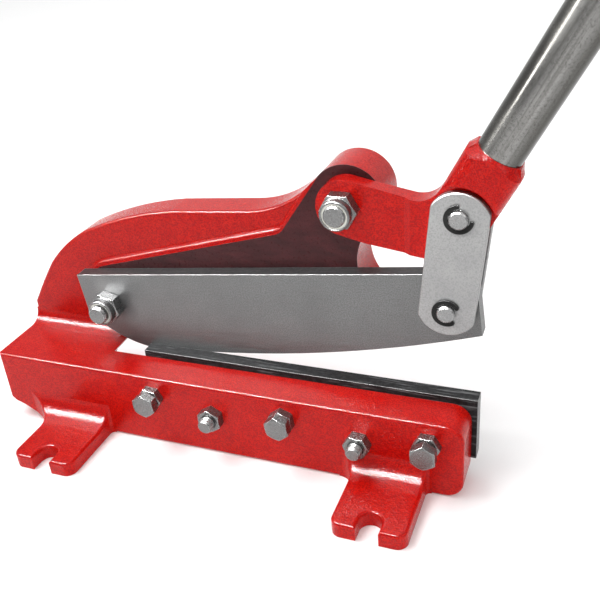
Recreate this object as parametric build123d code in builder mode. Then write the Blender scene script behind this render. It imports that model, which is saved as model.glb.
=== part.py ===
from build123d import *
from math import atan2, cos, degrees, hypot, radians, sin
import os

# Hand-lever bench plate shear.  Millimetres, +Z up.  X runs along the bed from the throat end
# to the open end, Y runs from the operator's side to the rear.  The origin is on the underside
# of the bed, in the middle of its depth.

# bed and neck
bed_left = -162.0
bed_right = 159.8
bed_depth = 23.0
bed_height = 51.0
bed_corner_r = 11.0
bed_left_top_r = 3.0
neck_length = 79.0
neck_foot_length = 36.0
cast_edge_r = 2.0
column_root_r = 10.0
heel_lift = 16.0
heel_length = 27.0

# feet with open bolt slots
foot_spots = [-102.9, 115.9]
foot_reach = 48.8
foot_width = 44.8
foot_thickness = 10.0
foot_slot_width = 13.5
foot_slot_depth = 7.5
foot_root_r = 15.0
foot_sink = 0.25
foot_left_flare = [20.0, 10.0]
foot_right_flare = 3.0
foot_tip_r = 6.5
foot_mouth_r = 1.5
foot_edge_r = 2.0

# blades
blade_thickness = 9.5
lower_blade_start = -58.0
lower_blade_length = 221.0
lower_blade_height = 42.2
lower_blade_top = 55.5
running_gap = 0.3
upper_blade_tail = 19.5
upper_blade_nose = 247.5
upper_blade_back = 22.2
upper_blade_belly = 34.7
upper_blade_belly_at = 82.6
upper_blade_belly_r = 760.0
upper_blade_tilt = 6.6

# depth layers, measured from the bed's centre plane
bed_front = -bed_depth / 2
bed_back = bed_depth / 2
upper_blade_front = bed_back + blade_thickness + running_gap
pad_face = upper_blade_front + blade_thickness + running_gap
pad_proud = 5.4
pad_root_r = 3.5
arm_face = pad_face + pad_proud
arm_back = 59.5
lever_middle = upper_blade_front + blade_thickness / 2

# pivots as (x, z)
lever_pivot = (83.0, 165.3)
blade_pivot = (-85.1, 81.7)
link_pivot = (149.4, 166.8)
link_foot = (143.4, 109.9)
boss_r = 21.4

# lever and handle
lever_end_r = 15.4
lever_end_thickness = blade_thickness
lever_thickness = 12.7
lever_face_end = 118.5
lever_rear_face_end = 100.0
handle_angle = 61.4
socket_reach = 37.5
socket_half_width = 16.3
socket_half_depth = 14.2
socket_corner_r = 9.5
socket_rim = 5.2
socket_shoulder_r = 17.7
elbow_r = 14.8
shoulder_start = -6.0
shoulder_end = 17.0
socket_mouth_r = 13.2
handle_diameter = 25.0
handle_wall = 3.2
handle_insertion = 18.5
handle_length = 475.0
cross_pin_diameter = 5.0
cross_pin_at = 27.5

# links and their pins
link_width = 31.5
link_thickness = 4.76
link_end_r = 17.5
link_overhang = 14.5
link_stroke_end = -50.5
pin_diameter = 10.3
pin_groove_diameter = 8.6
pin_stub = 3.2
clip_thickness = 1.1
clip_outer_r = 8.2
clip_ring_width = 2.3
blade_pin_hole_r = 7.8

# fasteners, inch sizes
pivot_bolt_diameter = 12.7
pivot_hex_flats = 19.05
pivot_head_height = 8.0
pivot_nut_height = 12.9
pivot_nut_crown = 5.2
pivot_tip_proud = {"lever": 0.8, "blade": 3.7}
pivot_nut_turn = {"lever": 0.0, "blade": 45.0}
pivot_pitch = 1.95
pivot_washer_r = 16.0
pivot_washer_thickness = 2.4
screw_diameter = 9.5
screw_hex_flats = 14.3
screw_head_height = 6.3
screw_pitch = 1.59
thread_depth = 0.55
jam_nut_height = 5.5
clamp_nut_height = 6.9
jack_spots = [-42.2, 49.2, 139.0]
jack_row_z = 37.0
jack_standoff = [12.9, 11.9, 14.3]
jack_head_turn = [37.0, 39.0, 31.0]
jack_nut_turn = [-6.0, 37.0, 0.0]
clamp_spots = [0.4, 97.2]
clamp_row_z = 29.4
clamp_nut_turn = [33.0, -3.0]
clamp_tip_proud = 5.8
countersink_r = 9.0
nut_seat_r = 9.5
running_clearance = 0.05

os.makedirs("parts", exist_ok=True)


def facing(y, spot=(0.0, 0.0), tilt=0.0):
    """A sketch plane looking at the operator: local x to the right, local y up."""
    along = (cos(radians(tilt)), 0, sin(radians(tilt)))
    return Plane(origin=(spot[0], y, spot[1]), x_dir=along, z_dir=(0, -1, 0))


def save(builder, name):
    builder.part.label = name
    export_step(builder.part, "parts/" + name + ".step")


# ---------------------------------------------------------------- fastener shapes, axis +Z
def hex_blank(flats, height, bevel):
    """Hexagon prism from z=0 to height with its top corners turned off."""
    with BuildPart() as blank:
        with BuildSketch():
            RegularPolygon(flats / 2, 6, major_radius=False)
        extrude(amount=height)
        with BuildSketch(Plane.XZ):
            with BuildLine():
                Polyline(
                    (0, 0),
                    (flats * 0.6, 0),
                    (flats * 0.6, height - bevel),
                    (flats * 0.47, height),
                    (0, height),
                    close=True,
                )
            make_face()
        revolve(axis=Axis.Z, mode=Mode.INTERSECT)
    return blank.part


def hex_bolt(flats, head, diameter, length, end_bevel):
    """Head on z=0 to head, shank below z=0."""
    with BuildPart() as bolt:
        add(hex_blank(flats, head, flats * 0.06))
        with BuildSketch(Plane.XY):
            Circle(diameter / 2)
        extrude(amount=-length)
        chamfer(bolt.edges().sort_by(Axis.Z)[0], end_bevel)
    return bolt.part


def thread_rings(diameter, start, turns, pitch):
    """V grooves round a shank, from z=start downward, to be cut from it."""
    edge = diameter / 2
    with BuildPart() as rings:
        for turn in range(turns):
            middle = start - (turn + 0.5) * pitch
            with BuildSketch(Plane.XZ):
                with BuildLine():
                    Polyline(
                        (edge - thread_depth, middle),
                        (edge + 0.3, middle + pitch * 0.48),
                        (edge + 0.3, middle - pitch * 0.48),
                        close=True,
                    )
                make_face()
            revolve(axis=Axis.Z)
    return rings.part


def hex_nut(flats, height, bore):
    """Plain nut, both faces turned."""
    with BuildPart() as nut:
        add(hex_blank(flats, height, flats * 0.06))
        with BuildSketch():
            Circle(bore / 2)
        extrude(amount=height, mode=Mode.SUBTRACT)
        chamfer(nut.edges().filter_by(GeomType.CIRCLE).group_by(Axis.Z)[-1].sort_by(SortBy.RADIUS)[0], 0.5)
    return nut.part


def lock_nut(flats, height, crown, bore):
    """Nut with a round crown that is rolled over an insert."""
    crown_r = flats * 0.475
    pocket_r = flats * 0.40
    with BuildPart() as nut:
        add(hex_blank(flats, height - crown, flats * 0.06))
        with BuildSketch(Plane.XY.offset(height - crown)):
            Circle(crown_r)
        extrude(amount=crown)
        fillet(nut.edges().sort_by(Axis.Z)[-1], 1.2)
        with BuildSketch():
            Circle(bore / 2)
        extrude(amount=height, mode=Mode.SUBTRACT)
        with BuildSketch(Plane.XY.offset(height - crown)):
            Circle(pocket_r)
        extrude(amount=crown, mode=Mode.SUBTRACT)
    return nut.part


def toward_operator(x, y, z, turn=0.0):
    return facing(y, (x, z), turn).location


def toward_rear(x, y, z):
    return Plane(origin=(x, y, z), x_dir=(1, 0, 0), z_dir=(0, 1, 0)).location


# ---------------------------------------------------------------- frame casting
def neck_outline():
    """Side profile of the left rear of the base, undercut toward the throat."""
    left = bed_left
    with BuildSketch(facing(bed_back - 1)) as outline:
        with BuildLine():
            Polyline((left + neck_length, bed_height), (left, bed_height), (left, 0))
            Line((left, 0), (left + neck_foot_length, 0))
            ThreePointArc((left + neck_foot_length, 0), (-109.0, 28.0), (left + neck_length, bed_height))
        make_face()
    return outline.sketch


def arm_outline():
    """Side profile of the column and arm, from the bed up and over to the boss."""
    left = bed_left
    with BuildSketch(facing(arm_face)) as outline:
        with BuildLine():
            Polyline((left + 1, 20.0), (left, bed_height), (left, 66.0))
            ThreePointArc((left, 66.0), (-153.6, 79.5), (-139.6, 99.6))
            ThreePointArc((-139.6, 99.6), (-125.0, 113.8), (-106.5, 126.4))
            ThreePointArc((-106.5, 126.4), (-73.5, 138.9), (-36.0, 147.0))
            Line((-36.0, 147.0), (16.0, 151.2))
            ThreePointArc((16.0, 151.2), (40.5, 157.8), (60.5, 173.0))
            Polyline((60.5, 173.0), (65.5, 177.6), lever_pivot, (94.0, 147.0))
            ThreePointArc((94.0, 147.0), (87.4, 130.0), (93.8, 108.0))
            ThreePointArc((93.8, 108.0), (99.0, 97.0), (93.0, 88.0))
            Line((93.0, 88.0), (-40.0, 66.0))
            ThreePointArc((-40.0, 66.0), (-66.0, 61.0), (-84.0, bed_height - 1))
            Polyline((-84.0, bed_height - 1), (-114.0, 20.0), (left + 1, 20.0))
        make_face()
        with Locations(lever_pivot):
            Circle(boss_r)
    return outline.sketch


def pad_upper_edge():
    """The pad's upper edge, from its left corner to the boss, drawn in the open outline."""
    ThreePointArc((-104.0, 94.5), (-98.9, 101.3), (-91.7, 105.0))
    Line((-91.7, 105.0), (36.0, 139.7))
    ThreePointArc((36.0, 139.7), (39.8, 141.6), (42.6, 144.8))
    Line((42.6, 144.8), (64.3, 175.6))


def pad_outline():
    """Machined bearing pad that backs the moving blade and the lever."""
    with BuildSketch(facing(pad_face)) as outline:
        with BuildLine():
            pad_upper_edge()
            Polyline((64.3, 175.6), lever_pivot, (94.0, 147.0))
            ThreePointArc((94.0, 147.0), (87.4, 130.0), (93.8, 108.0))
            Polyline((93.8, 108.0), (96.5, 101.0), (91.0, 88.5), (-40.0, 67.0), (-80.0, 63.5))
            ThreePointArc((-80.0, 63.5), (-103.0, 73.0), (-104.0, 94.5))
        make_face()
    return outline.sketch


def pad_skirt():
    """Concave skirt where the pad's upper edge stands off the arm."""
    with BuildPart() as skirt:
        with BuildLine(facing(arm_face)) as path:
            pad_upper_edge()
        with BuildSketch(Plane(origin=path.line @ 0, x_dir=(0, -1, 0), z_dir=path.line % 0)):
            with BuildLine():
                Polyline((0, -pad_root_r), (-1, -pad_root_r), (-1, 1), (pad_root_r, 1), (pad_root_r, 0))
                RadiusArc((pad_root_r, 0), (0, -pad_root_r), pad_root_r)
            make_face()
        sweep(path=path.line)
        extrude(arm_outline(), amount=2 * pad_proud, both=True, mode=Mode.INTERSECT)
    return skirt.part


def foot_outline(x, left_flare):
    """Plan of one foot: an open slot for a bench bolt, and flares where it leaves the bed."""
    tip = bed_front - foot_reach
    slot_end = tip + foot_slot_depth
    left = x - foot_width / 2
    right = x + foot_width / 2
    wall = bed_front + foot_sink
    flared_left = (left - left_flare, wall)
    flared_right = (right + foot_right_flare, wall)
    with BuildSketch() as plan:
        with BuildLine():
            Polyline(flared_left, (flared_left[0], 0), (flared_right[0], 0), flared_right)
            RadiusArc(flared_right, (right, wall - foot_right_flare), -foot_right_flare)
            Polyline((right, wall - foot_right_flare), (right, tip), (left, tip), (left, wall - left_flare))
            RadiusArc((left, wall - left_flare), flared_left, -left_flare)
        make_face()
        with Locations((x, slot_end)):
            Circle(foot_slot_width / 2, mode=Mode.SUBTRACT)
        with Locations((x, (slot_end + tip) / 2)):
            Rectangle(foot_slot_width, slot_end - tip, mode=Mode.SUBTRACT)
        prongs = plan.vertices().group_by(Axis.Y)[0].sort_by(Axis.X)
        fillet([prongs[0], prongs[3]], foot_tip_r)
        fillet([prongs[1], prongs[2]], foot_mouth_r)
    return plan.sketch


def cast_foot(x, left_flare):
    """Foot plate swept up into the bed, cut to its plan."""
    tip = bed_front - foot_reach
    wall = bed_front + foot_sink
    root = wall - foot_root_r
    with BuildPart() as foot:
        with BuildSketch(Plane.YZ.offset(x)):
            with BuildLine():
                Polyline((root, foot_thickness), (tip, foot_thickness), (tip, 0), (0, 0))
                Polyline((0, 0), (0, foot_thickness + foot_root_r), (wall, foot_thickness + foot_root_r))
                RadiusArc((root, foot_thickness), (wall, foot_thickness + foot_root_r), -foot_root_r)
            make_face()
        extrude(amount=foot_width, both=True)
        extrude(foot_outline(x, left_flare), amount=bed_height, mode=Mode.INTERSECT)
        rim = foot.faces().filter_by(Axis.Z).sort_by(Axis.Z)[1].edges()
        fillet(rim.filter_by(lambda e: (e @ 0.5).Y < root - 1), foot_edge_r)
    return foot.part


def cove(x, length, wall_y, floor_z, radius):
    """Concave fillet solid along X between a floor and the wall behind it."""
    with BuildPart() as strip:
        with BuildSketch(Plane.YZ.offset(x)):
            with BuildLine():
                low = (wall_y - radius, floor_z)
                high = (wall_y, floor_z + radius)
                RadiusArc(low, high, -radius)
                Polyline(high, (wall_y + 2, floor_z + radius), (wall_y + 2, floor_z - 2))
                Polyline((wall_y + 2, floor_z - 2), (wall_y - radius, floor_z - 2), low)
            make_face()
        extrude(amount=length)
    return strip.part


def bed_bar():
    """The long bar the lower blade is screwed to, rounded on the operator's side."""
    with BuildPart() as bar:
        with BuildSketch(facing(bed_front)):
            with Locations(((bed_left + bed_right) / 2, bed_height / 2)):
                bed_face = Rectangle(bed_right - bed_left, bed_height)
            corners = bed_face.vertices().sort_by(Axis.X)
            fillet(corners[-2:], bed_corner_r)
            fillet(corners[:2].sort_by(Axis.Y)[-1], bed_left_top_r)
        extrude(amount=-bed_depth)
        fillet(bar.faces().sort_by(Axis.Y)[0].edges(), cast_edge_r)
    return bar.part


def column_and_arm():
    """The curved arm with its upper outlines rounded front and back."""
    with BuildPart() as arm:
        extrude(arm_outline(), amount=-(arm_back - arm_face))
        outlines = arm.faces().filter_by(Axis.Y).edges()
        upper = outlines.filter_by(lambda e: (e @ 0.5).Z > bed_height + 4 and (e @ 0.5).X < lever_pivot[0] - boss_r)
        fillet(upper.filter_by(lambda e: (e @ 0.5).Z > 2 * bed_height or (e @ 0.5).X < -140), cast_edge_r)
    return arm.part


with BuildPart() as frame_casting:
    add(bed_bar())
    # neck block behind the bed's left end
    extrude(neck_outline(), amount=-(arm_back - bed_back + 1))
    add(column_and_arm())
    # cove where the column rises from the neck
    add(cove(bed_left, neck_length - 6, arm_face, bed_height, column_root_r))
    # pad and boss
    extrude(pad_outline(), amount=-(pad_proud + 1))
    add(pad_skirt())
    with BuildSketch(facing(pad_face)):
        with Locations(lever_pivot):
            Circle(boss_r)
    extrude(amount=-(arm_back - pad_face))
    # feet, and a seat for the clamp nut that stands over one of them
    for spot, left_flare in zip(foot_spots, foot_left_flare):
        add(cast_foot(spot, left_flare))
    with BuildSketch(facing(bed_front - foot_root_r)):
        with Locations(*[(x, clamp_row_z) for x in clamp_spots]):
            Circle(nut_seat_r)
    extrude(amount=-foot_root_r, mode=Mode.SUBTRACT)
    # heel lifted clear of the bench
    with BuildSketch(facing(bed_front - foot_reach)):
        with BuildLine():
            heel = bed_left
            Polyline(
                (heel - 1, heel_lift),
                (heel, heel_lift),
                (heel + heel_length * 0.16, heel_lift * 0.76),
                (heel + heel_length * 0.42, heel_lift * 0.6),
                (heel + heel_length * 0.75, heel_lift * 0.28),
                (heel + heel_length, 0),
                (heel + heel_length, -1),
                (heel - 1, -1),
                close=True,
            )
        make_face()
    extrude(amount=-(arm_back - bed_front + foot_reach), mode=Mode.SUBTRACT)
    # bores for the two pivot bolts
    with BuildSketch(facing(pad_face - 1)):
        with Locations(lever_pivot, blade_pivot):
            Circle(pivot_bolt_diameter / 2)
    extrude(amount=-(arm_back - pad_face + 2), mode=Mode.SUBTRACT)
    # tapped and plain holes through the bed
    with BuildSketch(facing(bed_front - 1)):
        with Locations(*[(x, jack_row_z) for x in jack_spots]):
            Circle(screw_diameter / 2)
        with Locations(*[(x, clamp_row_z) for x in clamp_spots]):
            Circle(screw_diameter / 2)
    extrude(amount=-(bed_depth + 2), mode=Mode.SUBTRACT)
save(frame_casting, "frame_casting")

# ---------------------------------------------------------------- blades
with BuildPart() as lower_blade:
    with BuildSketch(facing(bed_back)):
        with Locations((lower_blade_start + lower_blade_length / 2, lower_blade_top - lower_blade_height / 2)):
            Rectangle(lower_blade_length, lower_blade_height)
    extrude(amount=-blade_thickness)
    with Locations(*[toward_rear(x, bed_back + blade_thickness, clamp_row_z) for x in clamp_spots]):
        CounterSinkHole(screw_diameter / 2, countersink_r)
save(lower_blade, "lower_blade")

with BuildPart() as upper_blade:
    nose_x = upper_blade_nose
    heel_x = 20.0
    belly_centre = upper_blade_belly_r - upper_blade_belly

    def belly(at):
        run = at - upper_blade_belly_at
        return belly_centre - (upper_blade_belly_r**2 - run**2) ** 0.5

    with BuildSketch(facing(upper_blade_front, blade_pivot, upper_blade_tilt)):
        with BuildLine():
            Polyline(
                (-upper_blade_tail, -6.0),
                (-upper_blade_tail, upper_blade_back),
                (nose_x, upper_blade_back),
                (nose_x, belly(nose_x)),
            )
            ThreePointArc(
                (nose_x, belly(nose_x)),
                (upper_blade_belly_at + 40, belly(upper_blade_belly_at + 40)),
                (heel_x, belly(heel_x)),
            )
            ThreePointArc((heel_x, belly(heel_x)), (-5.0, -20.0), (-upper_blade_tail, -6.0))
        make_face()
        Circle(pivot_bolt_diameter / 2 + running_clearance, mode=Mode.SUBTRACT)
    extrude(amount=-blade_thickness)
    with BuildSketch(facing(upper_blade_front - 1)):
        with Locations(link_foot):
            Circle(blade_pin_hole_r)
    extrude(amount=-(blade_thickness + 2), mode=Mode.SUBTRACT)
save(upper_blade, "upper_blade")

# ---------------------------------------------------------------- lower blade screws
clamp_length = blade_thickness + bed_depth + clamp_nut_height + clamp_tip_proud
with BuildPart() as clamp_screws:
    for x in clamp_spots:
        with BuildSketch(facing(bed_front - clamp_nut_height - clamp_tip_proud)):
            with Locations((x, clamp_row_z)):
                Circle(screw_diameter / 2)
        extrude(amount=-clamp_length)
        with BuildSketch(Plane(origin=(x, bed_back + blade_thickness, clamp_row_z), x_dir=(1, 0, 0), z_dir=(0, 0, 1))):
            with BuildLine():
                Polyline(
                    (0, 0),
                    (countersink_r, 0),
                    (screw_diameter / 2, screw_diameter / 2 - countersink_r),
                    (0, screw_diameter / 2 - countersink_r),
                    close=True,
                )
            make_face()
        revolve(axis=Axis((x, 0, clamp_row_z), (0, 1, 0)))
    tips = clamp_screws.edges().group_by(Axis.Y)[0]
    chamfer(tips, 0.9)
    nut_face = bed_front - clamp_nut_height
    with Locations(*[toward_operator(x, nut_face, clamp_row_z) for x in clamp_spots]):
        add(thread_rings(screw_diameter, clamp_tip_proud - 0.4, 3, screw_pitch), mode=Mode.SUBTRACT)
save(clamp_screws, "clamp_screws")

with BuildPart() as clamp_nuts:
    seats = zip(clamp_spots, clamp_nut_turn)
    with Locations(*[toward_operator(x, bed_front, clamp_row_z, turn) for x, turn in seats]):
        add(hex_nut(screw_hex_flats, clamp_nut_height, screw_diameter))
save(clamp_nuts, "clamp_nuts")

with BuildPart() as jack_jam_nuts:
    seats = zip(jack_spots, jack_nut_turn)
    with Locations(*[toward_operator(x, bed_front, jack_row_z, turn) for x, turn in seats]):
        add(hex_nut(screw_hex_flats, jam_nut_height, screw_diameter))
save(jack_jam_nuts, "jack_jam_nuts")

with BuildPart() as jack_screws:
    for x, standoff, turn in zip(jack_spots, jack_standoff, jack_head_turn):
        seat = standoff - screw_head_height
        with Locations(toward_operator(x, bed_front - seat, jack_row_z, turn)):
            add(hex_bolt(screw_hex_flats, screw_head_height, screw_diameter, bed_depth + seat, 1.0))
        if seat > jam_nut_height + screw_pitch:
            with Locations(toward_operator(x, bed_front - seat, jack_row_z)):
                add(thread_rings(screw_diameter, -0.2, 1, screw_pitch), mode=Mode.SUBTRACT)
save(jack_screws, "jack_screws")

# ---------------------------------------------------------------- pivot bolts and lock nuts
pivot_nut_seat = upper_blade_front - running_gap
pivot_bolt_seat = arm_back + pivot_washer_thickness
pivot_grip = pivot_bolt_seat - pivot_nut_seat + pivot_nut_height


def pivot_set(spot, name):
    proud = pivot_tip_proud[name]
    nut_face = pivot_nut_seat - pivot_nut_height
    with BuildPart() as bolt:
        with Locations(toward_rear(spot[0], pivot_bolt_seat, spot[1])):
            add(hex_bolt(pivot_hex_flats, pivot_head_height, pivot_bolt_diameter, pivot_grip + proud, 0.8))
        if proud > pivot_pitch:
            with Locations(toward_operator(spot[0], nut_face, spot[1])):
                add(thread_rings(pivot_bolt_diameter, proud - 0.3, 1, pivot_pitch), mode=Mode.SUBTRACT)
    save(bolt, name + "_pivot_bolt")
    with BuildPart() as nut:
        with Locations(toward_operator(spot[0], pivot_nut_seat, spot[1], pivot_nut_turn[name])):
            add(lock_nut(pivot_hex_flats, pivot_nut_height, pivot_nut_crown, pivot_bolt_diameter))
    save(nut, name + "_pivot_lock_nut")


pivot_set(lever_pivot, "lever")
pivot_set(blade_pivot, "blade")

with BuildPart() as lock_nut_inserts:
    insert_seat = pivot_nut_seat - pivot_nut_height + pivot_nut_crown
    with BuildSketch(facing(insert_seat)):
        with Locations(lever_pivot, blade_pivot):
            Circle(pivot_hex_flats * 0.40)
            Circle(pivot_bolt_diameter / 2, mode=Mode.SUBTRACT)
    extrude(amount=pivot_nut_crown - 0.8)
save(lock_nut_inserts, "lock_nut_inserts")

with BuildPart() as pivot_washers:
    with BuildSketch(facing(arm_back)):
        with Locations(lever_pivot, blade_pivot):
            Circle(pivot_washer_r)
            Circle(pivot_bolt_diameter / 2 + 0.3, mode=Mode.SUBTRACT)
    extrude(amount=-pivot_washer_thickness)
save(pivot_washers, "pivot_washers")


# ---------------------------------------------------------------- lever casting
def on_socket(along, across):
    """A point beside the handle axis: along it from the link pivot, and across to the right."""
    c = cos(radians(handle_angle))
    s = sin(radians(handle_angle))
    return (link_pivot[0] + along * c + across * s, link_pivot[1] + along * s - across * c)


def socket_plane(along):
    """A plane across the handle axis: local x across, local y to the rear."""
    spot = on_socket(along, 0)
    c = cos(radians(handle_angle))
    s = sin(radians(handle_angle))
    return Plane(origin=(spot[0], lever_middle, spot[1]), x_dir=(s, 0, -c), z_dir=(c, 0, s))


def lever_outline():
    """Side profile of the arm and of the socket it turns up into."""
    end_x, end_z = lever_pivot
    top = (end_x + 3.0, end_z + 16.2)
    bottom = (end_x - 3.0, end_z - 16.7)
    elbow = on_socket(-4.1, -socket_half_width)
    with BuildSketch(facing(lever_middle)) as outline:
        with BuildLine():
            Line(top, elbow)
            Polyline(
                elbow,
                on_socket(socket_reach - socket_rim, -socket_half_width),
                on_socket(socket_reach, -socket_mouth_r),
                on_socket(socket_reach, socket_mouth_r),
                on_socket(socket_reach - socket_rim, socket_half_width),
                on_socket(-2.0, socket_half_width),
            )
            ThreePointArc(on_socket(-2.0, socket_half_width), (152.0, 142.2), (132.0, 139.2))
            Polyline((132.0, 139.2), (96.0, 144.6), bottom)
            ThreePointArc(bottom, (end_x - lever_end_r, end_z), top)
        make_face()
        inner = outline.vertices().sort_by_distance((elbow[0], elbow[1], 0))[0]
        fillet(inner, elbow_r)
    return outline.sketch


def socket_block():
    """Rounded bar round the handle, wedged down to the arm and turned at its mouth."""
    spot = on_socket(0, 0)
    c = cos(radians(handle_angle))
    s = sin(radians(handle_angle))
    side = Plane(origin=(spot[0], lever_middle, spot[1]), x_dir=(c, 0, s), z_dir=(-s, 0, c))
    arm = lever_thickness / 2
    rim = socket_reach - socket_rim
    with BuildPart() as block:
        with BuildSketch(socket_plane(shoulder_start)):
            RectangleRounded(2 * socket_half_width, 2 * socket_half_depth, socket_corner_r)
        extrude(amount=socket_reach - shoulder_start)
        with BuildSketch(side):
            with BuildLine():
                Polyline((shoulder_start, arm), (shoulder_end, socket_half_depth), (socket_reach, socket_half_depth))
                Line((socket_reach, socket_half_depth), (socket_reach, -socket_half_depth))
                Polyline((socket_reach, -socket_half_depth), (shoulder_end, -socket_half_depth), (shoulder_start, -arm))
                Line((shoulder_start, -arm), (shoulder_start, arm))
            make_face()
        extrude(amount=2 * socket_half_width, both=True, mode=Mode.INTERSECT)
        with BuildSketch(side):
            with BuildLine():
                Polyline((shoulder_start, 0), (shoulder_start, 30.0), (rim - 10, 30.0), (rim, socket_shoulder_r))
                Polyline((rim, socket_shoulder_r), (socket_reach, socket_mouth_r), (socket_reach, 0), (shoulder_start, 0))
            make_face()
        revolve(axis=Axis(side.origin, side.x_dir), mode=Mode.INTERSECT)
    return block.part


with BuildPart() as lever_casting:
    extrude(lever_outline(), amount=lever_thickness / 2, both=True)
    add(socket_block())
    # relief for the round heads of the two links, and for their sides at the end of the stroke
    for side in (-1, 1):
        with BuildSketch(facing(lever_middle + side * lever_thickness / 2)):
            with Locations(link_pivot):
                Circle(link_end_r + 1.2)
        extrude(amount=-side * 20, mode=Mode.SUBTRACT)
        with BuildSketch(facing(lever_middle + side * lever_thickness / 2, link_pivot, link_stroke_end)):
            with Locations((link_width, 0)):
                Rectangle(2 * link_width, link_width + 1.2)
        extrude(amount=-side * 20, mode=Mode.SUBTRACT)
    # arm thinned to the blade's thickness round its pivot
    thick = lever_thickness / 2
    thin = lever_end_thickness / 2
    for side, face_end, ramp in ((-1, lever_face_end, 3.5), (1, lever_rear_face_end, 26.0)):
        with BuildSketch(Plane.XY.offset(lever_pivot[1] - 40)):
            with BuildLine():
                start = lever_pivot[0] - lever_end_r - 5
                Polyline(
                    (start, lever_middle + side * (thick + 1)),
                    (start, lever_middle + side * thin),
                    (face_end, lever_middle + side * thin),
                    (face_end + ramp, lever_middle + side * thick),
                    (face_end + ramp, lever_middle + side * (thick + 1)),
                    close=True,
                )
            make_face()
        extrude(amount=80, mode=Mode.SUBTRACT)
    # bores
    with BuildSketch(facing(lever_middle - 20)):
        with Locations(lever_pivot):
            Circle(pivot_bolt_diameter / 2 + running_clearance)
        with Locations(link_pivot):
            Circle(pin_diameter / 2 + running_clearance)
    extrude(amount=-40, mode=Mode.SUBTRACT)
    with BuildSketch(socket_plane(socket_reach)):
        Circle(handle_diameter / 2)
    extrude(amount=-handle_insertion, mode=Mode.SUBTRACT)
    with BuildSketch(
        Plane(
            origin=(on_socket(cross_pin_at, -20)[0], lever_middle, on_socket(cross_pin_at, -20)[1]),
            z_dir=socket_plane(0).x_dir,
        )
    ):
        Circle(cross_pin_diameter / 2)
    extrude(amount=40, mode=Mode.SUBTRACT)
save(lever_casting, "lever_casting")

# ---------------------------------------------------------------- handle
cross_pin_plane = Plane(
    origin=(on_socket(cross_pin_at, -socket_half_width)[0], lever_middle, on_socket(cross_pin_at, -socket_half_width)[1]),
    z_dir=socket_plane(0).x_dir,
)
handle_foot = socket_reach - handle_insertion

with BuildPart() as handle_tube:
    with BuildSketch(socket_plane(handle_foot)):
        Circle(handle_diameter / 2)
        Circle(handle_diameter / 2 - handle_wall, mode=Mode.SUBTRACT)
    extrude(amount=handle_length)
    with BuildSketch(cross_pin_plane):
        Circle(cross_pin_diameter / 2)
    extrude(amount=2 * socket_half_width, mode=Mode.SUBTRACT)
save(handle_tube, "handle_tube")

with BuildPart() as handle_cross_pin:
    with BuildSketch(cross_pin_plane):
        Circle(cross_pin_diameter / 2)
    extrude(amount=2 * socket_half_width)
save(handle_cross_pin, "handle_cross_pin")

with BuildPart() as handle_end_plug:
    with BuildSketch(socket_plane(handle_foot + handle_length - 18)):
        Circle(handle_diameter / 2 - handle_wall)
    extrude(amount=18)
    with BuildSketch(socket_plane(handle_foot + handle_length)):
        Circle(handle_diameter / 2)
    extrude(amount=5)
    rim = handle_end_plug.edges().filter_by(GeomType.CIRCLE).sort_by(Axis((0, 0, 0), socket_plane(0).z_dir))[-1]
    fillet(rim, 3.5)
save(handle_end_plug, "handle_end_plug")

# ---------------------------------------------------------------- links, pins and clips
link_rise = link_pivot[1] - link_foot[1]
link_lean = link_pivot[0] - link_foot[0]
link_angle = degrees(atan2(link_rise, link_lean))
link_span = hypot(link_rise, link_lean)
front_link_back = lever_middle - lever_thickness / 2 - running_gap
rear_link_front = lever_middle + lever_thickness / 2 + running_gap


def link_plate(y, name):
    """Flat bar with rounded heads, front face at y."""
    half = link_width / 2
    span = link_span
    shoulder = link_overhang - (link_end_r - (link_end_r**2 - half**2) ** 0.5)
    with BuildPart() as plate:
        with BuildSketch(facing(y, link_foot, link_angle)):
            with BuildLine():
                Line((-shoulder, half), (span + shoulder, half))
                ThreePointArc((span + shoulder, half), (span + link_overhang, 0), (span + shoulder, -half))
                Line((span + shoulder, -half), (-shoulder, -half))
                ThreePointArc((-shoulder, -half), (-link_overhang, 0), (-shoulder, half))
            head = make_face()
            fillet(head.vertices(), 4.0)
            with Locations((0, 0), (span, 0)):
                Circle(pin_diameter / 2, mode=Mode.SUBTRACT)
        extrude(amount=-link_thickness)
        chamfer(plate.faces().filter_by(Axis.Y).edges().filter_by(lambda e: e.length > 40), 0.5)
    save(plate, name)


link_plate(front_link_back - link_thickness, "front_link")
link_plate(rear_link_front, "rear_link")

pin_front = front_link_back - link_thickness - clip_thickness - pin_stub + clip_thickness
pin_back = rear_link_front + link_thickness + pin_stub
clip_seats = [front_link_back - link_thickness - clip_thickness, rear_link_front + link_thickness]


def link_pin(spot, name):
    with BuildPart() as pin:
        with BuildSketch(facing(pin_front)):
            with Locations(spot):
                Circle(pin_diameter / 2)
        extrude(amount=-(pin_back - pin_front))
        chamfer(pin.edges().filter_by(GeomType.CIRCLE), 0.8)
        for seat in clip_seats:
            with BuildSketch(facing(seat)):
                with Locations(spot):
                    Circle(pin_diameter / 2 + 1)
                    Circle(pin_groove_diameter / 2, mode=Mode.SUBTRACT)
            extrude(amount=-clip_thickness, mode=Mode.SUBTRACT)
    save(pin, name)


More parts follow.
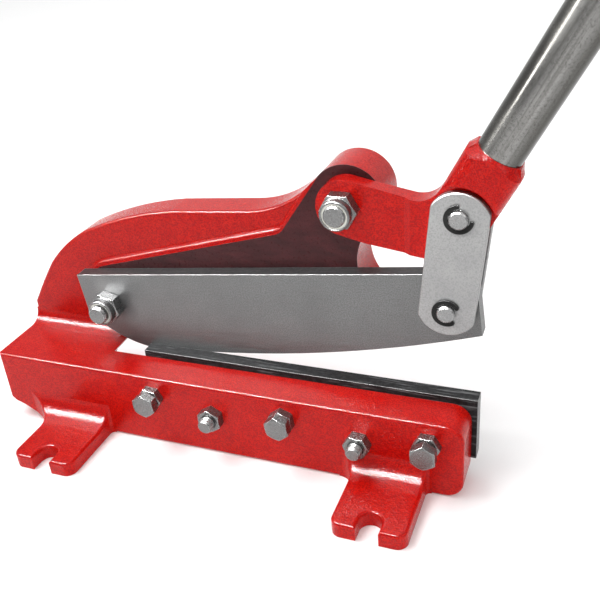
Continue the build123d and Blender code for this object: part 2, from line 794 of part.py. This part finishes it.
def clip_pair(spot, mouth, gape, name):
    """Two retaining rings, open on one side, with three inward prongs."""
    reach = 2 * clip_outer_r
    with BuildPart() as clips:
        for seat in clip_seats:
            with BuildSketch(facing(seat, spot, mouth)) as ring:
                Circle(clip_outer_r)
                Circle(clip_outer_r - clip_ring_width, mode=Mode.SUBTRACT)
                with BuildLine():
                    upper_lip = (reach * cos(radians(gape)), reach * sin(radians(gape)))
                    lower_lip = (upper_lip[0], -upper_lip[1])
                    Polyline((0, 0), upper_lip, lower_lip, close=True)
                make_face(mode=Mode.SUBTRACT)
                fillet(ring.vertices(), clip_ring_width * 0.42)
                with PolarLocations(clip_outer_r - clip_ring_width, 3, 100, 160, endpoint=True):
                    Rectangle(3.0, 3.4)
                Circle(pin_groove_diameter / 2, mode=Mode.SUBTRACT)
            extrude(amount=-clip_thickness)
    save(clips, name)


link_pin(link_pivot, "upper_link_pin")
link_pin(link_foot, "lower_link_pin")
clip_pair(link_pivot, 42.0, 47.0, "upper_pin_clips")
clip_pair(link_foot, -14.0, 38.0, "lower_pin_clips")

with BuildPart() as link_spacers:
    spacer_gap = (lever_thickness - blade_thickness) / 2
    for y in (front_link_back, rear_link_front - spacer_gap):
        with BuildSketch(facing(y)):
            with Locations(link_foot):
                Circle(11.5)
                Circle(pin_diameter / 2, mode=Mode.SUBTRACT)
        extrude(amount=-spacer_gap)
save(link_spacers, "link_spacers")
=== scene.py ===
from math import radians

import bpy
from mathutils import Matrix, Vector


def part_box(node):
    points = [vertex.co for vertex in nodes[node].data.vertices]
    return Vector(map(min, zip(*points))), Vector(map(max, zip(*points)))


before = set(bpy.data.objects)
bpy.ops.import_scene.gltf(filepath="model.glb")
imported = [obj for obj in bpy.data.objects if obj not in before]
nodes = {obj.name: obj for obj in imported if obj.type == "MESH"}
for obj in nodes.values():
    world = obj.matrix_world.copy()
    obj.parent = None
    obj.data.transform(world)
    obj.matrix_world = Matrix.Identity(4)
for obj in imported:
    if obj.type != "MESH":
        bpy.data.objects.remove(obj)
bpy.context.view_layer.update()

# ------------------------------------------------------------------ camera, metres and degrees
SENSOR_MM = 36.0
LENS_MM = 49.6
CAMERA_AT = (0.22531, -0.37751, 0.34535)
CAMERA_AZIMUTH = 23.323
CAMERA_ELEVATION = 29.180
CAMERA_ROLL = -5.014
NEAREST_SEEN = 0.01

# ------------------------------------------------------------------ places on the object, metres
PAD_FACE_Y = 0.0311          # the flat pad on the frame, behind the moving blade
PAD_FACE_DEPTH = 0.0002
PAD_EDGE_DEPTH = 0.0006
PAD_FROM_Z = 0.056
PAD_RIM = 0.0005
NUT_PATCH_OFFSET = 0.013         # painted shadow beside the moving blade's nut, and a lighter patch above it
NUT_PATCH_SHIFT = 0.002
NUT_PATCH_REACH = 0.009
EDGE_BREAK_BLADE = 0.0004    # how far in from an edge the blades are rounded and painted lighter as a highlight
EDGE_BREAK_SMALL = 0.0003    # the same for plates, nuts, screws and pins

# ------------------------------------------------------------------ directions, degrees about Y
BLADE_RISE = -6.6
TUBE_LEAN = 28.6

# ------------------------------------------------------------------ floor, metres
FLOOR_HALF = 8.0
FLOOR_DROP = 0.0002

# ------------------------------------------------------------------ lights: place, aim, size, watts
LIT_FROM = {
    "key": ((-0.70, -0.15, 1.60), (0.0, 0.0, 0.05), (0.9, 0.9), 19),
    "backdrop": ((-0.3, 2.6, 0.9), (0.0, 0.0, 0.1), (4.0, 1.6), 10),
    "front": ((0.1, -1.7, 1.4), (0.0, 0.0, 0.1), (2.4, 1.2), 7),
    "overhead": ((-0.3, 1.6, 2.4), (-0.3, 1.4, 0.0), (3.4, 1.8), 22),
    "fill_right": ((1.5, -0.5, 1.2), (0.0, 0.0, 0.05), (1.0, 1.0), 7),
}
GLINTS_FROM = {
    "tube_glint": ((-1.15, -0.4, 0.8), (0.2, 0.0, 0.35), (0.1, 0.7), 9),
    "strip": ((-0.75, -0.76, 1.37), (-0.75, -0.05, 0.05), (1.7, 0.26), 300),
}
WORLD_STRENGTH = 0.45


def srgb(r, g, b):
    """Linear colour from 0-255 sRGB."""
    def lin(c):
        c = c / 255.0
        return c / 12.92 if c <= 0.04045 else ((c + 0.055) / 1.055) ** 2.4
    return (lin(r), lin(g), lin(b), 1.0)


def grey(value):
    return srgb(value, value, value)


# ------------------------------------------------------------------ node helpers
class Shade:
    """A material under construction: its tree, its Principled shader and short ways to add nodes."""

    def __init__(self, name, roughness=0.5, metallic=0.0, ior=None):
        self.mat = bpy.data.materials.new(name)
        self.mat.use_nodes = True
        self.tree = self.mat.node_tree
        self.tree.nodes.clear()
        surface = self.add("ShaderNodeOutputMaterial")
        self.bsdf = self.add("ShaderNodeBsdfPrincipled")
        self.bsdf.inputs["Roughness"].default_value = roughness
        self.bsdf.inputs["Metallic"].default_value = metallic
        if ior is not None:
            self.bsdf.inputs["IOR"].default_value = ior
        self.link(self.bsdf.outputs[0], surface.inputs[0])
        coord = self.add("ShaderNodeTexCoord")
        self.place = coord.outputs["Object"]
        self.facing = coord.outputs["Normal"]

    def add(self, kind):
        return self.tree.nodes.new(kind)

    def link(self, a, b):
        self.tree.links.new(a, b)

    def put(self, value, socket):
        """Links a node's output to a socket, or sets the socket to a constant."""
        if isinstance(value, bpy.types.NodeSocket):
            self.link(value, socket)
        else:
            socket.default_value = value

    def stretched(self, scale=(1, 1, 1), turn=(0, 0, 0)):
        """Object coordinates, turned by degrees and then scaled along the turned axes."""
        node = self.add("ShaderNodeMapping")
        node.vector_type = "TEXTURE"
        node.inputs["Scale"].default_value = [1 / k for k in scale]
        node.inputs["Rotation"].default_value = [radians(a) for a in turn]
        self.link(self.place, node.inputs["Vector"])
        return node.outputs[0]

    def noise(self, per_metre, detail, rough, along=None):
        """Noise with that many cells to a metre."""
        node = self.add("ShaderNodeTexNoise")
        node.inputs["Scale"].default_value = per_metre
        node.inputs["Detail"].default_value = detail
        node.inputs["Roughness"].default_value = rough
        self.link(along or self.place, node.inputs["Vector"])
        return node.outputs["Fac"]

    def ramp(self, value, low, high, at_low=0.0, at_high=1.0):
        node = self.add("ShaderNodeMapRange")
        node.inputs["From Min"].default_value = low
        node.inputs["From Max"].default_value = high
        node.inputs["To Min"].default_value = at_low
        node.inputs["To Max"].default_value = at_high
        self.link(value, node.inputs["Value"])
        return node.outputs[0]

    def mix(self, share, a, b):
        """Colour a where share is 0, colour b where it is 1."""
        node = self.add("ShaderNodeMix")
        node.data_type = "RGBA"
        colour_a, colour_b = [x for x in node.inputs if x.type == "RGBA"]
        self.put(share, node.inputs[0])
        self.put(a, colour_a)
        self.put(b, colour_b)
        return next(x for x in node.outputs if x.type == "RGBA")

    def math(self, operation, a, b=0.0):
        node = self.add("ShaderNodeMath")
        node.operation = operation
        self.put(a, node.inputs[0])
        self.put(b, node.inputs[1])
        return node.outputs[0]

    def times(self, a, b):
        return self.math("MULTIPLY", a, b)

    def part(self, vector, letter):
        """One component of the place or the facing, both in the frame at rest."""
        node = self.add("ShaderNodeSeparateXYZ")
        self.link(vector, node.inputs[0])
        return node.outputs[letter]

    def spot(self, x, z, reach, ragged):
        """A soft round patch about a point of the front view, with a ragged rim."""
        dx = self.math("SUBTRACT", self.part(self.place, "X"), x)
        dz = self.math("SUBTRACT", self.part(self.place, "Z"), z)
        far = self.math("SQRT", self.math("ADD", self.times(dx, dx), self.times(dz, dz)))
        far = self.math("ADD", far, self.times(ragged, reach))
        return self.ramp(far, low=reach * 0.7, high=reach * 1.6, at_low=1.0, at_high=0.0)

    def rounded_edges(self, radius):
        """The surface normal with sharp edges rounded off, and how near an edge is, 0 to 1."""
        soft = self.add("ShaderNodeBevel")
        soft.inputs["Radius"].default_value = radius
        soft.samples = 6
        plain = self.add("ShaderNodeNewGeometry")
        agreement = self.add("ShaderNodeVectorMath")
        agreement.operation = "DOT_PRODUCT"
        self.link(soft.outputs[0], agreement.inputs[0])
        self.link(plain.outputs["Normal"], agreement.inputs[1])
        return soft.outputs[0], self.ramp(agreement.outputs["Value"], low=0.995, high=0.9)

    def bump(self, height, strength, depth, onto=None):
        node = self.add("ShaderNodeBump")
        node.inputs["Strength"].default_value = strength
        node.inputs["Distance"].default_value = depth
        self.link(height, node.inputs["Height"])
        if onto is not None:
            self.link(onto, node.inputs["Normal"])
        return node.outputs[0]

    def finish(self, color, roughness=None, normal=None, metallic=None):
        wanted = {"Base Color": color, "Roughness": roughness, "Normal": normal, "Metallic": metallic}
        for socket, value in wanted.items():
            if value is not None:
                self.put(value, self.bsdf.inputs[socket])
        return self.mat


# ------------------------------------------------------------------ materials
def cast_enamel(name, with_pad):
    """Glossy red enamel over a rough casting; the frame's pad is thinly smeared over dark iron and made
    darker still as painted shade from the moving blade in front of it.
    """
    s = Shade(name, ior=1.25)
    lumps = s.noise(110, detail=4, rough=0.6)
    grain = s.noise(480, detail=3, rough=0.65)
    fine = s.noise(1250, detail=1, rough=0.5)

    color = s.mix(s.ramp(lumps, 0.35, 0.7), srgb(193, 16, 9), srgb(205, 26, 13))
    color = s.mix(s.ramp(fine, 0.44, 0.6, at_high=0.9), color, srgb(154, 8, 11))
    color = s.mix(s.ramp(grain, 0.54, 0.66, at_high=0.25), color, srgb(216, 40, 30))
    rough = s.ramp(grain, 0.3, 0.7, at_low=0.09, at_high=0.2)

    if with_pad:
        depth = s.part(s.place, "Y")
        near = s.ramp(depth, PAD_FACE_Y + PAD_EDGE_DEPTH, PAD_FACE_Y + PAD_FACE_DEPTH)
        high = s.ramp(s.part(s.place, "Z"), PAD_FROM_Z, PAD_FROM_Z + PAD_RIM)
        pad = s.times(near, high)
        # the pad face darkened: a thin smear over dark iron, plus painted shade from the moving blade in
        # front of it
        smear = s.noise(60, detail=4, rough=0.6, along=s.stretched((1, 1, 3)))
        pad_smear_and_shade = s.mix(s.ramp(smear, 0.35, 0.7), srgb(60, 24, 27), srgb(82, 35, 38))
        pad_smear_and_shade = s.mix(s.ramp(fine, 0.5, 0.7, at_high=0.5), pad_smear_and_shade, srgb(48, 20, 23))
        color = s.mix(pad, color, pad_smear_and_shade)
        rough = s.math("ADD", rough, s.times(pad, 0.16))

    skin = s.bump(lumps, 0.4, depth=0.0005)
    skin = s.bump(grain, 0.6, depth=0.00036, onto=skin)
    skin = s.bump(fine, 0.6, depth=0.0002, onto=skin)
    return s.finish(color, rough, skin)


def ground_steel():
    """The moving blade: ground faces, a back edge still in mill scale, a painted shadow right of the nut
    and a lighter patch above it.
    """
    full_metal = 0.85
    s = Shade("ground_steel", metallic=full_metal)
    along = s.stretched((0.05, 1, 1), (0, BLADE_RISE, 0))
    lines = s.noise(900, detail=3, rough=0.6, along=along)
    stain = s.noise(22, detail=4, rough=0.6)
    speck = s.noise(1500, detail=2, rough=0.6)
    bark = s.noise(420, detail=4, rough=0.7)

    color = s.mix(s.ramp(stain, 0.32, 0.68), srgb(105, 106, 106), srgb(116, 117, 117))
    color = s.mix(s.ramp(speck, 0.42, 0.6, at_high=0.8), color, grey(86))

    low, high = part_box("blade_pivot_lock_nut")
    nut_x, nut_z = (low[0] + high[0]) / 2, (low[2] + high[2]) / 2
    # painted shadow: the blade darkened right of and below the nut, where the nut's shade falls
    nut_painted_shadow = s.spot(nut_x + NUT_PATCH_OFFSET, nut_z - NUT_PATCH_SHIFT, NUT_PATCH_REACH, stain)
    color = s.mix(s.times(nut_painted_shadow, 0.5), color, srgb(66, 66, 67))
    # a lighter patch above the nut
    bright = s.spot(nut_x - NUT_PATCH_SHIFT, nut_z + NUT_PATCH_OFFSET, NUT_PATCH_REACH, stain)
    color = s.mix(s.times(bright, 0.3), color, grey(150))

    scale = s.ramp(s.part(s.facing, "Z"), 0.7, 0.9)
    dark = s.mix(s.ramp(bark, 0.4, 0.65), srgb(30, 30, 32), srgb(60, 58, 57))
    color = s.mix(scale, color, dark)
    metal = s.math("SUBTRACT", full_metal, s.times(scale, 0.6))
    rough = s.ramp(lines, 0.3, 0.7, at_low=0.34, at_high=0.5)

    soft, near = s.rounded_edges(EDGE_BREAK_BLADE)
    # painted highlight: the colour lightened along the edges
    color = s.mix(s.times(near, 0.7), color, grey(186))
    skin = s.bump(lines, 0.14, depth=0.0002, onto=soft)
    skin = s.bump(bark, 0.12, depth=0.0004, onto=skin)
    return s.finish(color, rough, skin, metal)


def black_steel():
    """The fixed blade: black mill scale with lengthwise scores, and a lighter sawn end."""
    s = Shade("black_steel", metallic=0.35, ior=1.3)
    bark = s.noise(380, detail=4, rough=0.7)
    streak = s.noise(600, detail=3, rough=0.6, along=s.stretched((0.08, 1, 1)))

    color = s.mix(s.ramp(bark, 0.4, 0.68), srgb(10, 10, 11), srgb(40, 40, 42))
    color = s.mix(s.ramp(streak, 0.54, 0.68, at_high=0.6), color, srgb(104, 105, 106))
    sawn = s.mix(s.ramp(bark, 0.35, 0.7), srgb(104, 104, 105), srgb(154, 154, 155))
    color = s.mix(s.ramp(s.part(s.facing, "X"), 0.7, 0.9), color, sawn)

    soft, near = s.rounded_edges(EDGE_BREAK_BLADE)
    # painted highlight: the colour lightened along the edges
    color = s.mix(s.times(near, 0.7), color, grey(150))
    rough = s.ramp(streak, 0.3, 0.7, at_low=0.4, at_high=0.62)
    return s.finish(color, rough, s.bump(bark, 0.35, depth=0.0004, onto=soft))


def plate_steel(name, tone, shine, edge_highlight=0.5):
    """Plated or turned steel of one grey tone, clouded and finely rubbed, with a painted highlight along
    its edges.
    """
    s = Shade(name, metallic=0.9)
    rub = s.noise(1200, detail=3, rough=0.65)
    cloud = s.noise(45, detail=4, rough=0.6)
    light = min(tone + 14, 255)

    color = s.mix(s.ramp(cloud, 0.35, 0.7), grey(tone), srgb(light, light, light - 1))
    rubbed = srgb(tone * 0.76, tone * 0.76, tone * 0.77)
    color = s.mix(s.ramp(rub, 0.46, 0.62, at_high=0.4), color, rubbed)

    soft, near = s.rounded_edges(EDGE_BREAK_SMALL)
    # painted highlight: the colour lightened along the edges
    color = s.mix(s.times(near, edge_highlight), color, grey(225))
    rough = s.ramp(rub, 0.3, 0.7, at_low=shine, at_high=shine + 0.16)
    return s.finish(color, rough, s.bump(rub, 0.16, depth=0.0003, onto=soft))


def drawn_steel():
    """The handle: bare tube with light and dark bands painted along its length as reflections, draw
    lines along its length, and scattered specks.
    """
    s = Shade("drawn_steel", metallic=0.95)
    along = s.stretched((1, 1, 0.02), (0, TUBE_LEAN, 0))
    reflection_band = s.noise(62, detail=2, rough=0.5, along=along)
    draw = s.noise(700, detail=4, rough=0.65, along=along)
    cloud = s.noise(26, detail=5, rough=0.65)
    speck = s.noise(900, detail=2, rough=0.6)

    # painted reflection: light and dark bands along the tube in place of reflected surroundings
    color = s.mix(s.ramp(reflection_band, 0.4, 0.6), srgb(84, 83, 80), srgb(146, 145, 143))
    color = s.mix(s.ramp(cloud, 0.4, 0.7, at_high=0.4), color, srgb(100, 99, 96))
    color = s.mix(s.ramp(draw, 0.45, 0.7, at_high=0.55), color, srgb(84, 82, 78))
    color = s.mix(s.ramp(speck, 0.5, 0.72, at_high=0.5), color, srgb(66, 63, 60))
    rough = s.ramp(cloud, 0.3, 0.7, at_low=0.16, at_high=0.3)
    return s.finish(color, rough, s.bump(draw, 0.1, depth=0.0002))


def plastic(name, rgb, shine):
    """Moulded plastic with a fine grain."""
    s = Shade(name)
    grain = s.noise(1200, detail=3, rough=0.6)
    cloud = s.noise(80, detail=3, rough=0.6)
    light = [min(c * 1.15 + 6, 255) for c in rgb]
    color = s.mix(s.ramp(cloud, 0.35, 0.7), srgb(*rgb), srgb(*light))
    rough = s.ramp(grain, 0.3, 0.7, at_low=shine, at_high=shine + 0.15)
    return s.finish(color, rough, s.bump(grain, 0.12, depth=0.0002))


def matt_floor():
    s = Shade("pale_floor", roughness=0.9)
    return s.finish(s.mix(s.noise(3, detail=2, rough=0.5), grey(250), grey(253)))


# ------------------------------------------------------------------ each node's material
link_plate = plate_steel("link_plate_steel", 143, shine=0.32)
bright_zinc = plate_steel("bright_zinc", 114, shine=0.2, edge_highlight=0.8)
turned_pin = plate_steel("turned_pin_steel", 138, shine=0.2)
clip_spring = plate_steel("clip_spring_steel", 30, shine=0.4, edge_highlight=0.1)
looks = {
    "frame_casting": cast_enamel("cast_enamel_frame", with_pad=True),
    "lever_casting": cast_enamel("cast_enamel_lever", with_pad=False),
    "upper_blade": ground_steel(),
    "lower_blade": black_steel(),
    "handle_tube": drawn_steel(),
    "handle_end_plug": plastic("plug_black", (28, 28, 30), shine=0.4),
    "lock_nut_inserts": plastic("insert_nylon", (205, 204, 196), shine=0.35),
    "front_link": link_plate,
    "rear_link": link_plate,
    "upper_link_pin": turned_pin,
    "lower_link_pin": turned_pin,
    "link_spacers": turned_pin,
    "upper_pin_clips": clip_spring,
    "lower_pin_clips": clip_spring,
    "handle_cross_pin": clip_spring,
}
for name, obj in nodes.items():
    obj.data.materials.clear()
    obj.data.materials.append(looks.get(name, bright_zinc))


# ------------------------------------------------------------------ floor, light, camera
def into_scene(name, data):
    obj = bpy.data.objects.new(name, data)
    bpy.context.scene.collection.objects.link(obj)
    return obj


def floor():
    mesh = bpy.data.meshes.new("floor")
    corners = [(x * FLOOR_HALF, y * FLOOR_HALF, 0) for x, y in ((-1, -1), (1, -1), (1, 1), (-1, 1))]
    mesh.from_pydata(corners, [], [(0, 1, 2, 3)])
    mesh.materials.append(matt_floor())
    obj = into_scene("floor", mesh)
    obj.location.z = -FLOOR_DROP


def area_light(name, at, aim, size, watts, gloss_only):
    """A rectangular lamp. A gloss_only lamp shows in reflections and casts no light on matt surfaces."""
    data = bpy.data.lights.new(name, "AREA")
    data.shape = "RECTANGLE"
    data.size, data.size_y = size
    data.energy = watts
    obj = into_scene(name, data)
    obj.location = at
    obj.rotation_euler = (Vector(aim) - Vector(at)).to_track_quat("-Z", "Y").to_euler()
    obj.visible_camera = False
    obj.visible_diffuse = not gloss_only


def camera():
    data = bpy.data.cameras.new("camera")
    data.sensor_width = SENSOR_MM
    data.lens = LENS_MM
    data.clip_start = NEAREST_SEEN
    turn = Matrix.Rotation(radians(CAMERA_AZIMUTH), 4, "Z")
    tip = Matrix.Rotation(radians(90 - CAMERA_ELEVATION), 4, "X")
    roll = Matrix.Rotation(radians(CAMERA_ROLL), 4, "Z")
    obj = into_scene("camera", data)
    obj.matrix_world = Matrix.Translation(CAMERA_AT) @ turn @ tip @ roll
    bpy.context.scene.camera = obj


def surroundings():
    world = bpy.data.worlds.new("studio")
    world.use_nodes = True
    background = world.node_tree.nodes["Background"]
    background.inputs["Color"].default_value = (1, 1, 1, 1)
    background.inputs["Strength"].default_value = WORLD_STRENGTH
    bpy.context.scene.world = world
    bpy.context.scene.view_settings.view_transform = "Standard"


floor()
for name, lamp in LIT_FROM.items():
    area_light(name, *lamp, gloss_only=False)
for name, lamp in GLINTS_FROM.items():
    area_light(name, *lamp, gloss_only=True)
surroundings()
camera()
